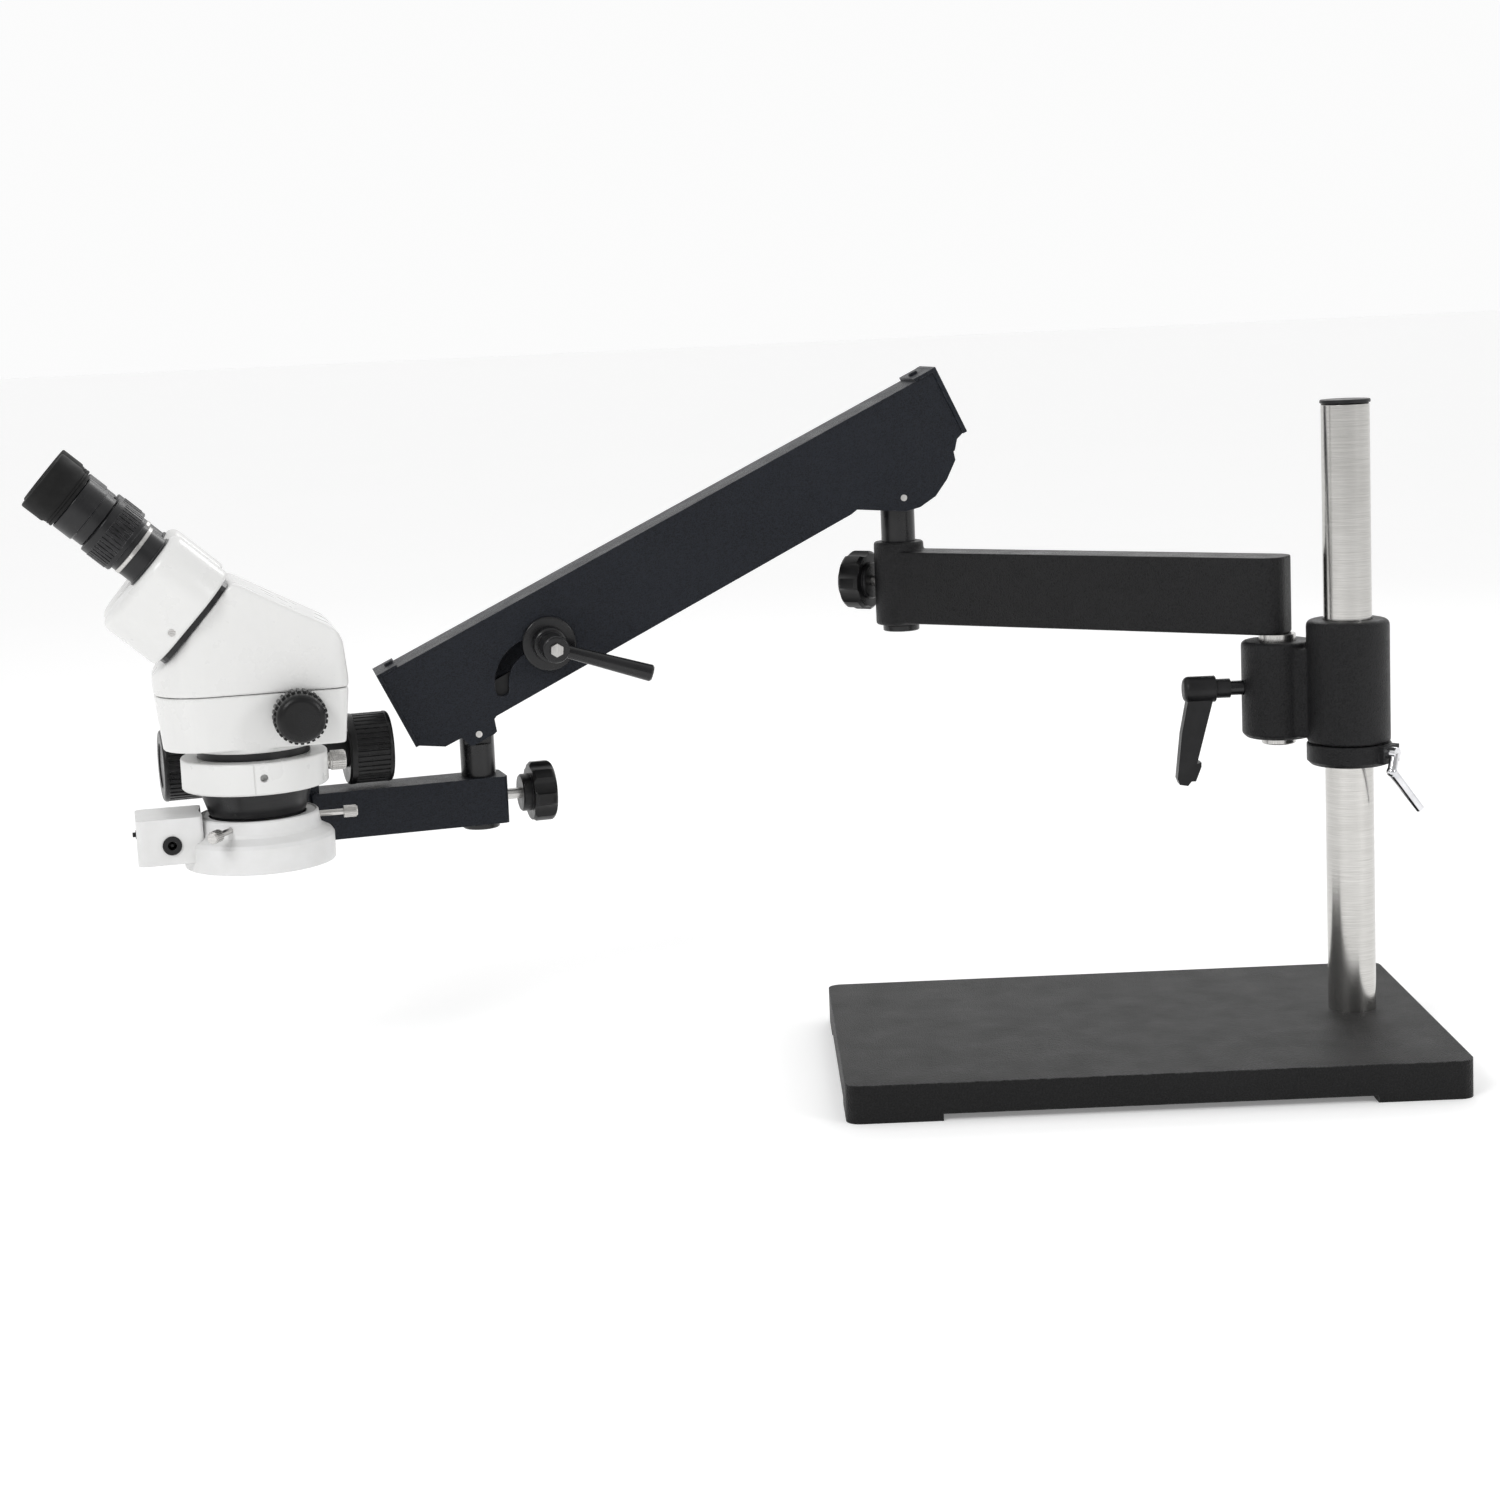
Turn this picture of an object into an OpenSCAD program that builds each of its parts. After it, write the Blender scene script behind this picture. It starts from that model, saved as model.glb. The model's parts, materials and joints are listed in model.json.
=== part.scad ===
// Stereo microscope on a spring-balanced articulating arm and a weighted base.
// Millimetres, +Z up, table at Z = 0, base front towards -Y.

/* [Base and post] */
// Length of the base, left to right
base_length = 400; // [340:1:460]
// Depth of the base, front to back
base_depth = 258; // [220:1:300]
// Thickness of the base plate above its feet
base_plate_height = 20.4; // [16:0.2:26]
// Height of the corner feet
foot_height = 4.6; // [3:0.2:8]
// Post centre to the right edge of the base
post_inset_x = 46; // [40:1:70]
// Post centre to the front edge of the base
post_inset_y = 139.5; // [110:0.5:160]
// Radius of the post
post_r = 16; // [14:0.5:18]
// Height of the post's top above the table
post_top = 437; // [420:1:520]
// Post centre in the frame, X
post_x = 419; // [360:0.5:460]
// Post centre in the frame, Y
post_y = -45.5; // [-70:0.5:-20]

/* [Pivot block] */
// Underside of the block above the table
block_z = 209.5; // [190:0.5:225]
// Radius of the barrel on the post
post_barrel_r = 27.5; // [25:0.5:29]
// Height of the barrel on the post
post_barrel_h = 83; // [75:1:88]
// Radius of the barrel under the arm
arm_barrel_r = 24.5; // [21:0.5:26]
// Height of the barrel under the arm
arm_barrel_h = 66.4; // [60:0.2:69]
// Centre distance of the two barrels
barrel_pitch = 50; // [48:0.5:51.5]
// Direction from the post to the arm barrel, degrees from +X
block_azimuth = 146.4; // [135:0.2:160]
// Radius of both pivot posts and of the arm's shaft
pivot_r = 12.5; // [11:0.5:13.5]

/* [Horizontal arm] */
// Barrel centre to elbow centre
arm_length = 294.3; // [250:0.1:350]
// Width of the arm
arm_width = 34; // [30:1:38]
// Height of the arm
arm_height = 52.9; // [46:0.1:58]
// Radius of the elbow boss
elbow_r = 18.4; // [17.5:0.1:21]

/* [Spring arm] */
// Distance between the arm's two pins
pin_span = 354.3; // [300:0.1:400]
// Slope of the arm, down towards the head
arm_slope = 25.25; // [20:0.25:30]
// Direction of the arm, degrees from +X
spring_azimuth = 191.2; // [180:0.2:205]
// Height of the upper pin above the table
upper_pin_z = 374; // [370:0.5:380]
// Outside width of the housing
housing_width = 40; // [38:0.5:46]
// Housing's top above its pins
housing_rise = 71; // [69:0.5:78]
// Offset of the hidden parallel link
link_offset = 28.5; // [26:0.5:30]
// Lean of that offset, degrees back from upright
link_lean = 14; // [10:1:18]

/* [Focus bar] */
// Direction of the bar, degrees from +X
bar_azimuth = 197; // [190:1:205]
// Height of the bar
bar_height = 34; // [30:0.5:36]
// Width of the bar
bar_width = 34; // [32:0.5:38]
// Underside of the bar above the table
bar_z = 156; // [154:0.5:158]
// Post centre to the focus pinion's middle
pinion_x = 145; // [140:1:155]
// Post centre to the head's axis, along the bar
ring_x = 170; // [160:1:178]
// Bar's middle to the head's axis, across the bar
ring_y = 78; // [76:0.5:84]
// Radius of the focus knobs
focus_knob_r = 25.4; // [22:0.2:26]
// Radius of the head ring
ring_r = 49.4; // [46:0.2:52]
// Radius of the head's mounting sleeve
sleeve_r = 38; // [36:0.5:39]

/* [Head] */
// Direction that the eyepieces point, degrees from +X
head_azimuth = 193; // [185:1:200]
// Underside of the head's body above the table
body_z = 242; // [241:0.5:246]
// Half width of the body
body_half = 46; // [42:0.5:50]
// Angle of the eyetubes above level
eye_angle = 42; // [38:0.5:46]
// Half distance between the eyetubes
eye_half = 31; // [29:0.5:33]
// Radius of the eyepiece barrels
barrel_r = 15; // [14:0.5:16]
// Radius of the eyecups
cup_r = 21.5; // [20:0.5:23]

/* [Ring light] */
// Outside radius of the ring light
light_r = 51; // [48:0.5:56]
// Underside of the ring light above the table
light_z = 159; // [157:0.5:160]

/* [Hidden] */
eps = 0.01;
run = 0.05;
gap = 0.3;
fine = 72;
base_top = base_plate_height + foot_height;
arm_z = block_z + 71.7;
arm_top = arm_z + arm_height;
boss_top = arm_top + 7;
boss_low = arm_z - 1.7;
pin_r = 2.4;
link_pin_r = 3;
cheek = 3;
inner_half = housing_width / 2 - cheek;
tongue_near = 8;
tongue_far = 10;
link_near = 15.6;
link_thick = 6;
lower_x = pin_span * cos(arm_slope);
lower_pin_z = upper_pin_z - pin_span * sin(arm_slope);
lean = [-link_offset * sin(link_lean), link_offset * cos(link_lean)];
slot_s = 297.2;
slot_t = 11.2;
slot_half = 5;
lock_angle = 90 + link_lean + arm_slope;
disc_r = 19.5;
pinion_z = bar_z + 61.6;
pinion_pitch_r = 7;
pinion_teeth = 14;
ring_low = body_z - 30;
ring_high = body_z - 8.5;
seam_z = body_z + 37;
eye_x = 33.5;
eye_z = body_z + 84.5;
eye_lift = 14.5;
swing_drop = 12;
swing_half = 26;
prism_r = 25.5;
prism_low = 4.5;
prism_high = 48.5;
tube_r = barrel_r + 2.9;
lens_r = barrel_r - 2.65;
neck_r = barrel_r + 1.4;
zoom_x = -29;
zoom_z = body_z + 22;
screw_z = light_z + 29;
guide_r = 2;
guide_x = 24;
guide_y = 22;
ring_screw_r = 2;

// Corner arc about c from angle a, a quarter turn, radius r
function arc(c, r, a, n = 6) = [for (i = [0:n]) c + r * [cos(a + 90 * i / n), sin(a + 90 * i / n)]];

// Rounded rectangle from x0,y0 to x1,y1 with radius ra at the x1 end and rb at the x0 end
function round_box(x0, x1, y0, y1, ra, rb) = concat(
  arc([x1 - ra, y1 - ra], ra, 0), arc([x0 + rb, y1 - rb], rb, 90),
  arc([x0 + rb, y0 + rb], rb, 180), arc([x1 - ra, y0 + ra], ra, 270));

// Ring of n teeth between radii r - depth and r; land is the share of a pitch at full radius
function teeth(r, depth, n, land = 0.5) = [for (i = [0:n - 1], k = [0:3])
  let (step = 360 / n, a = (i + [-land / 2, land / 2, land / 2 + 0.12, 0.88 - land / 2][k]) * step)
  (k < 2 ? r : r - depth) * [cos(a), sin(a)]];

// Slot of half width w along the arc of radius r from angle a0 to a1, with round ends
function arc_slot(r, w, a0, a1, n = 24, m = 8) = concat(
  [for (i = [0:n]) let (a = a0 + (a1 - a0) * i / n) (r + w) * [cos(a), sin(a)]],
  [for (i = [1:m - 1]) let (b = a1 + 180 * i / m) r * [cos(a1), sin(a1)] + w * [cos(b), sin(b)]],
  [for (i = [0:n]) let (a = a1 + (a0 - a1) * i / n) (r - w) * [cos(a), sin(a)]],
  [for (i = [1:m - 1]) let (b = a0 + 180 + 180 * i / m)
    r * [cos(a0), sin(a0)] + w * [cos(b), sin(b)]]);

// Drum from z0 to z1 with a rounded upper edge of radius e and a lower chamfer
module drum(r, z0, z1, e = 2, low = 1) {
  edge = arc([r - e, z1 - e], e, 0, 5);
  rotate_extrude($fn = fine)
    polygon(concat([[0, z0], [r - low, z0], [r, z0 + low]], edge, [[0, z1]]));
}

module rod(r, h) cylinder(r = r, h = h, $fn = 48);

module tube_bore(r, z0, z1) translate([0, 0, z0 - 1]) cylinder(r = r, h = z1 - z0 + 2, $fn = fine);

// Round bar from point a to point b
module strut(a, b, r0, r1) {
  d = b - a;
  len = norm(d);
  translate(a)
    rotate([0, acos(d[2] / len), atan2(d[1], d[0])])
      cylinder(r1 = r0, r2 = r1, h = len, $fn = 32);
}

module slab(points, z0, z1) translate([0, 0, z0]) linear_extrude(height = z1 - z0) polygon(points);

// Points in the X-Z plane carried across Y from y0 to y1
module side_slab(points, y0, y1)
  translate([0, y1, 0]) rotate([90, 0, 0]) linear_extrude(height = y1 - y0) polygon(points);

// Local frames, each one carried by the one before it
module at_post() translate([post_x, post_y, 0]) children();
module at_block() at_post() rotate([0, 0, block_azimuth]) children();
module at_arm() at_block() translate([barrel_pitch, 0, 0]) children();
module at_elbow() at_arm() translate([arm_length, 0, 0])
  rotate([0, 0, spring_azimuth - block_azimuth]) children();
module at_tilt() at_elbow() translate([0, 0, upper_pin_z]) rotate([0, arm_slope, 0]) children();
module at_link() at_elbow() translate([lean[0], 0, upper_pin_z + lean[1]])
  rotate([0, arm_slope, 0]) children();
module at_bar() at_elbow() translate([lower_x, 0, 0])
  rotate([0, 0, bar_azimuth - spring_azimuth]) children();
module at_ring() at_bar() translate([ring_x, ring_y, 0]) children();
module at_head() at_ring() rotate([0, 0, head_azimuth - bar_azimuth]) children();
module at_eyes() at_head() translate([eye_x, 0, eye_z]) rotate([0, 90 - eye_angle, 0]) children();

module base_plate() color([0.06, 0.06, 0.065]) at_post() difference() {
  x0 = post_inset_x - base_length;
  y0 = -post_inset_y;
  y1 = base_depth - post_inset_y;
  foot_x = 62;
  foot_y = 46;
  wall = 9;
  slab(round_box(x0, post_inset_x, y0, y1, 9, 9), 0, base_top);
  // Arches between the corner feet
  translate([x0 + foot_x, y0 - 1, -1])
    cube([base_length - 2 * foot_x, base_depth + 2, foot_height + 1]);
  translate([x0 - 1, y0 + foot_y, -1])
    cube([base_length + 2, base_depth - 2 * foot_y, foot_height + 1]);
  // Hollow behind the front and back skirts of each foot
  for (x = [x0 + wall, post_inset_x - wall - foot_x + 24], y = [y0 + wall, y1 - wall - 22])
    translate([x, y, -1]) cube([foot_x - 24, 22, foot_height + 1]);
  tube_bore(4.5, 0, base_top);
  translate([0, 0, -1]) rod(10, 10.5);
}

module post() color([0.75, 0.75, 0.74]) at_post() difference() {
  translate([0, 0, base_top]) rod_chamfered();
  translate([0, 0, base_top - 1]) cylinder(r = 4.2, h = 31, $fn = 32);
}

module rod_chamfered() rotate_extrude($fn = 96)
  polygon([[0, 0], [post_r, 0], [post_r, post_top - base_top - 1],
    [post_r - 1, post_top - base_top], [0, post_top - base_top]]);

module post_bolt() color([0.5, 0.5, 0.5]) at_post() difference() {
  union() {
    translate([0, 0, 1.5]) rod(8, 8);
    translate([0, 0, 9]) rod(4.15, base_top + 18);
  }
  translate([0, 0, 1]) cylinder(r = 4, h = 5, $fn = 6);
}

module post_cap() color([0.05, 0.05, 0.05]) at_post()
  translate([0, 0, post_top]) drum(post_r + 0.6, 0, 2.4, 0.9, 0.2);

module safety_collar() color([0.06, 0.06, 0.065]) at_post() difference() {
  collar_z = block_z - 14.8;
  union() {
    drum(post_barrel_r + 0.5, collar_z, block_z - 0.5, 1, 2.5);
    rotate([0, 0, -45]) translate([20, -7, collar_z + 2]) cube([11, 19, 11.8]);
  }
  tube_bore(post_r + run, collar_z, block_z);
  rotate([0, 0, -45]) translate([12, 0, block_z - 5.5]) rotate([0, 90, 0]) rod(4 + run, 24);
}

module collar_lever() color([0.8, 0.8, 0.82]) at_post() rotate([0, 0, -45]) {
  translate([post_r + 1, 0, block_z - 5.5]) rotate([0, 90, 0]) rod(4, 36 - post_r);
  bend = [35, -4, block_z - 17.5];
  strut([35, 0, block_z - 5.5], bend, 3, 3.2);
  translate(bend) sphere(r = 3.7, $fn = 32);
  strut(bend, [40, 22, block_z - 46], 3.3, 3);
}

module pivot_block() color([0.05, 0.05, 0.055]) at_block() difference() {
  union() {
    drum(post_barrel_r, block_z, block_z + post_barrel_h, 4, 1);
    translate([barrel_pitch, 0, 0])
      drum(arm_barrel_r, block_z + 0.7, block_z + 0.7 + arm_barrel_h, 3, 3);
    translate([0, -16, block_z + 3]) cube([barrel_pitch, 32, arm_barrel_h - 6]);
  }
  tube_bore(post_r + run, block_z, block_z + post_barrel_h);
  translate([barrel_pitch, 0, 0]) tube_bore(pivot_r + run, block_z, block_z + arm_barrel_h + 2);
  at_clamp() rod(5 + run, arm_barrel_r + 2);
}

// Along the clamp stud, from the arm barrel's axis outwards
module at_clamp() translate([barrel_pitch, 0, block_z + 35.3])
  rotate([0, 90, 180 - block_azimuth]) children();

module clamp_stud() color([0.1, 0.1, 0.1]) at_block() at_clamp()
  translate([0, 0, pivot_r + gap]) rod(5, 38 - pivot_r);

module clamp_lever() color([0.07, 0.07, 0.075]) at_block() at_clamp() difference() {
  union() {
    translate([0, 0, 33]) cylinder(r = 6.6, h = 12, $fn = 48);
    rotate_extrude($fn = 48)
      polygon(concat([[0, 43], [8.6, 43], [9, 43.4]], arc([5, 61], 4, 0), [[0, 65]]));
    side_slab([[0, 45.5], [8, 45.5], [62, 60], [66, 63.5], [65, 69],
      [61, 70.5], [30, 67], [0, 61]], -5, 5);
    side_slab([[50, 54], [53, 54], [63, 58], [63, 63], [52, 62]], -5, 5);
  }
  translate([0, 0, 32]) cylinder(r = 5 + run, h = 18.5, $fn = 48);
}

module horizontal_arm() color([0.05, 0.05, 0.055]) at_arm() difference() {
  half = arm_width / 2;
  union() {
    slab(round_box(-8, arm_length, -half, half, 4, 13), arm_z, arm_top);
    translate([arm_length, 0, 0]) drum(elbow_r, boss_low, boss_top, 1.6, 1);
  }
  translate([arm_length, 0, 0]) tube_bore(pivot_r + run, boss_low, boss_top);
  translate([0, 0, arm_z - 1]) cylinder(r = 5, h = 31, $fn = 48);
  at_elbow_stud() rod(4 + run, elbow_r + 2);
}

// Along the elbow stud, from the elbow's axis outwards
module at_elbow_stud() translate([arm_length, 0, arm_z + 29.9]) rotate([0, 90, 0]) children();

module arm_pivot_shaft() color([0.55, 0.55, 0.56]) at_arm() {
  translate([0, 0, block_z - 0.5]) rod(pivot_r, arm_z - block_z + 0.5);
  translate([0, 0, arm_z - 1]) rod(4.95, 29);
  drum(11.5, block_z - 4, block_z - 0.3, 0.4, 0.6);
}

// Lobed hand knob, from its back face at z = 0 to its domed front
module star_knob(r, h, back) difference() {
  lobes = 7;
  union() {
    drum(r, 0, h, 4, 2);
    translate([0, 0, -back]) drum(r * 0.62, 0, back + 1, 0.5, 1);
  }
  for (i = [0:lobes - 1]) rotate([0, 0, i * 360 / lobes])
    translate([r + 6.5, 0, -back - 1]) cylinder(r = 9.5, h = h + back + 2, $fn = 40);
  translate([0, 0, -back - 1]) cylinder(r = 4 + run, h = back + 9, $fn = 40);
}

module elbow_stud() color([0.7, 0.7, 0.68]) at_arm() at_elbow_stud()
  translate([0, 0, pivot_r + gap]) rod(4, 30 - pivot_r);

module elbow_knob() color([0.05, 0.05, 0.05]) at_arm() at_elbow_stud()
  translate([0, 0, 25]) rotate([0, 0, 12]) star_knob(22, 17, 2.5);

// Pivot post: round shank, flat tongue, and the two bores of the parallelogram
module pivot_post(low, pin_z, flange_low, link_bore) difference() {
  union() {
    translate([0, 0, low]) rod(pivot_r, pin_z - low - 9);
    intersection() {
      translate([0, 0, pin_z - 10]) rod(pivot_r, 24);
      translate([-20, -tongue_far, pin_z - 10]) cube([40, tongue_far + tongue_near, 30]);
    }
    tongue(pin_z);
    drum(pivot_r + 0.9, flange_low, low, 0.4, 0.6);
  }
  translate([0, 30, pin_z]) rotate([90, 0, 0]) rod(pin_r + run, 60);
  if (link_bore)
    translate([lean[0], 30, pin_z + lean[1]]) rotate([90, 0, 0]) rod(link_pin_r + run, 60);
}

// Tongue that carries both bores: two round eyes joined by a straight web
module tongue(pin_z) translate([0, tongue_near, pin_z]) rotate([90, 0, 0])
  linear_extrude(height = tongue_far + tongue_near) union() {
    circle(r = 9, $fn = 48);
    translate(lean) circle(r = 7.5, $fn = 48);
    rotate([0, 0, link_lean]) translate([-7.2, 0]) square([14.4, link_offset]);
  }

module upper_post() color([0.1, 0.1, 0.105]) at_elbow()
  pivot_post(boss_low - gap, upper_pin_z, boss_low - 4.8, true);

module lower_post() color([0.1, 0.1, 0.105]) at_elbow() translate([lower_x, 0, 0]) {
  pivot_post(bar_z - gap, lower_pin_z, bar_z - 4.2, false);
  translate([lean[0], 0, lower_pin_z + lean[1]]) rotate([-90, 0, 0]) rod(link_pin_r, link_near);
}

function cheek_profile() = [[-61, housing_rise], [-61, 21], [-55, 19], [-50, 12.6], [-48.6, 12.2],
  [-47, 6], [-35, -3.5], [-21.9, -10.4], [-8, -12], [2.8, -9.8], [34.9, 9.2], [40, 8.2],
  [337, 5.4], [339.4, 4.3], [342, -4.6], [345, -5.4], [361, -5.4], [363.8, -4.4], [366.5, 3.8],
  [379.6, 4], [395.5, 13.8], [395.5, housing_rise]];

module arm_housing() color([0.06, 0.07, 0.085]) at_tilt() difference() {
  side = housing_width / 2;
  side_slab(cheek_profile(), -side, side);
  // Inside of the channel, open below and at both ends
  translate([-80, -inner_half, -30]) cube([500, 2 * inner_half, housing_rise + 27]);
  for (s = [0, pin_span]) translate([s, side + 1, 0]) rotate([90, 0, 0]) rod(pin_r, housing_width + 2);
  // Arc slot of the tilt lock, in the near cheek
  translate([slot_s, side + 1, slot_t]) rotate([90, 0, 0])
    linear_extrude(height = cheek + 2) polygon(arc_slot(link_offset, slot_half, 18, 150));
  for (s = [-52, 386]) translate([s, 0, housing_rise - 6]) rod(2, 12);
}

module end_plates() color([0.06, 0.07, 0.085]) at_tilt() {
  side = housing_width / 2 + 0.8;
  difference() {
    union() {
      translate([-64.2, -side, 20.5]) cube([3.2, 2 * side, housing_rise - 17.9]);
      translate([-64.2, -side, housing_rise]) cube([18, 2 * side, 2.4]);
      translate([395.5, -side, 14]) cube([2.6, 2 * side, housing_rise - 12]);
      translate([382, -side, housing_rise]) cube([16.1, 2 * side, 2]);
    }
    for (s = [-52, 386]) translate([s, 0, housing_rise - 6]) rod(2, 12);
    translate([-70, 0, 52]) rotate([0, 90, 0]) rod(3 + run, 20);
  }
  // Cover screws
  for (s = [[-52, 2.4], [386, 2]]) translate([s[0], 0, housing_rise + s[1]]) {
    translate([0, 0, -8]) rod(1.9, 9);
    drum(3.6, 0, 2.2, 1.2, 0.2);
  }
}

module housing_pins() color([0.7, 0.7, 0.7]) at_tilt() for (s = [0, pin_span])
  translate([s, housing_width / 2 + 0.2, 0]) rotate([90, 0, 0]) rod(pin_r, housing_width + 0.4);

module spring_rod() color([0.6, 0.6, 0.6]) at_tilt() translate([-60, 0, 52]) rotate([0, 90, 0]) {
  translate([0, 0, -7]) cylinder(r = 5.5, h = 2.7, $fn = 6);
  translate([0, 0, -5]) rod(3, 295);
  translate([0, 0, 285]) rod(9.5, 6);
}

// Coil of n turns: rings of points joined into one closed skin
module balance_spring() color([0.5, 0.5, 0.52]) at_tilt() translate([-60.9, 0, 52]) rotate([0, 90, 0]) {
  turns = 30;
  steps = 14;
  sides = 6;
  coil_r = 8;
  wire_r = 1.4;
  length = 282;
  count = turns * steps;
  points = [for (i = [0:count], k = [0:sides - 1])
    let (a = 360 * i / steps, b = 360 * k / sides, r = coil_r + wire_r * cos(b))
    [r * cos(a), r * sin(a), 2 + length * i / count + wire_r * sin(b)]];
  skin = [for (i = [0:count - 1], k = [0:sides - 1])
    let (k1 = (k + 1) % sides)
    [i * sides + k, (i + 1) * sides + k, (i + 1) * sides + k1, i * sides + k1]];
  caps = [[for (k = [0:sides - 1]) k], [for (k = [sides - 1:-1:0]) count * sides + k]];
  polyhedron(points, concat(skin, caps), convexity = 10);
}

module parallel_link() color([0.3, 0.3, 0.32]) at_link() difference() {
  translate([0, link_near, 0]) rotate([90, 0, 0]) linear_extrude(height = link_thick) union() {
    circle(r = 7.5, $fn = 48);
    translate([pin_span, 0]) circle(r = 7.5, $fn = 48);
    translate([0, -6]) square([pin_span, 12]);
    translate([slot_s, slot_t]) circle(r = 7.5, $fn = 48);
    translate([slot_s - 7.2, 0]) square([14.4, slot_t]);
  }
  translate([0, 30, 0]) rotate([90, 0, 0]) rod(link_pin_r, 40);
  translate([pin_span, 30, 0]) rotate([90, 0, 0]) rod(link_pin_r + gap, 40);
  translate([slot_s, 30, slot_t]) rotate([90, 0, 0]) rod(4, 40);
}

module link_pin() color([0.6, 0.6, 0.6]) at_link()
  translate([0, link_near, 0]) rotate([90, 0, 0]) rod(link_pin_r, link_near + tongue_far);

// Along the lock bolt, from the arm's middle plane outwards
module at_lock() at_link() translate([slot_s, 0, slot_t]) rotate([-90, 0, 0]) children();

module lock_bolt() color([0.75, 0.75, 0.74]) at_lock() {
  translate([0, 0, link_near - link_thick]) rod(4, 52);
  translate([0, 0, 61]) cylinder(r = 4.9, h = 3.6, $fn = 6);
}

module lock_washer() color([0.05, 0.05, 0.055]) at_lock() difference() {
  drum(disc_r, housing_width / 2 + 0.2, housing_width / 2 + 3.4, 1.2, 0.2);
  tube_bore(4, 0, 40);
}

module lock_handle() color([0.05, 0.05, 0.055]) at_lock() difference() {
  hub_low = housing_width / 2 + 3.6;
  union() {
    drum(9.6, hub_low, 60.8, 1.4, 0.6);
    drum(12.5, hub_low, hub_low + 9, 2, 0.6);
    // Tapered handle, dropping a little to the right of the hub
    rotate([0, 0, 162 - arm_slope]) translate([0, 0, 50]) rotate([0, 86, 0]) {
      cylinder(r1 = 4.4, r2 = 6.1, h = 71, $fn = 48);
      translate([0, 0, 71]) cylinder(r1 = 6.1, r2 = 5, h = 1.2, $fn = 48);
    }
  }
  tube_bore(4 + run, 0, 70);
}

function rail_profile(c) = [[pinion_x - 14 - c, bar_width / 2 - 2 - eps],
  [pinion_x - 18 - c, bar_width / 2 + 2 + c], [pinion_x + 18 + c, bar_width / 2 + 2 + c],
  [pinion_x + 14 + c, bar_width / 2 - 2 - eps]];

module focus_bar() color([0.06, 0.07, 0.08]) at_bar() difference() {
  half = bar_width / 2;
  bar_top = bar_z + bar_height;
  block_top = bar_z + 73;
  union() {
    slab(round_box(-18, pinion_x - 20, -half, half, 2, 4), bar_z, bar_top);
    slab(round_box(pinion_x - 27, pinion_x + 27, -half, half - 2, 3, 3), bar_z, block_top);
    slab(rail_profile(0), bar_z + 2, block_top);
  }
  tube_bore(pivot_r + run, bar_z, bar_top);
  // Rack channel and the pinion's bores
  translate([pinion_x - 5.5, 0, bar_z + 12]) cube([11, 40, 80]);
  translate([pinion_x - 5.5, -9, pinion_z - 9]) cube([11, 18, 18]);
  translate([pinion_x - 40, 0, pinion_z]) rotate([0, 90, 0]) rod(4 + run, 80);
  at_bar_stud() rod(4 + run, 20);
}

// Along the bar's clamp stud, from the lower post's axis outwards
module at_bar_stud() translate([0, 0, bar_z + 18]) rotate([0, -90, 0]) children();

module bar_stud() color([0.75, 0.75, 0.74]) at_bar() at_bar_stud()
  translate([0, 0, pivot_r + gap]) rod(4, 38 - pivot_r);

module bar_knob() color([0.05, 0.05, 0.05]) at_bar() at_bar_stud()
  translate([0, 0, 37]) rotate([0, 0, 20]) star_knob(22, 17, 7);

module pinion_shaft() color([0.7, 0.7, 0.68]) at_bar()
  translate([pinion_x, 0, pinion_z]) rotate([0, 90, 0]) {
    translate([0, 0, -70]) rod(4, 140);
    step = 360 / pinion_teeth;
    points = [for (i = [0:pinion_teeth - 1], k = [0:3])
      let (r = [6, 7.8, 7.8, 6][k], w = [1.4, 0.6, -0.6, -1.4][k] / 2)
      let (a = 90 + i * step - w / r * 180 / PI) r * [cos(a), sin(a)]];
    translate([0, 0, -5]) linear_extrude(height = 10) polygon(points);
  }

module focus_knobs() color([0.05, 0.05, 0.055]) at_bar()
  translate([pinion_x, 0, pinion_z]) rotate([0, 90, 0])
    for (side = [0, 1]) mirror([0, 0, side]) difference() {
      union() {
        slab(teeth(focus_knob_r - 0.3, 0.9, 40), 54, 78);
        drum(focus_knob_r, 49, 54.5, 0.5, 1.5);
        drum(focus_knob_r, 77.5, 81, 2.4, 0.2);
        drum(13, 32, 49.5, 0.3, 1);
      }
      translate([0, 0, 20]) rod(4, 51);
      translate([0, 0, 80]) drum(16, 0, 2, 0.2, 0.2);
    }

module focus_rack() color([0.7, 0.66, 0.5]) at_bar() {
  pitch = 2 * PI * pinion_pitch_r / pinion_teeth;
  count = 15;
  low = pinion_z - 9 * pitch;
  points = concat([[14, low], [14, low + count * pitch]],
    [for (i = [count - 1:-1:0], k = [0:3])
      [[8.3, 6.4, 6.4, 8.3][k], low + (i + [0.8, 0.62, 0.38, 0.2][k]) * pitch]]);
  translate([pinion_x - 5, 0, 0]) rotate([90, 0, 90]) linear_extrude(height = 10) polygon(points);
}

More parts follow.
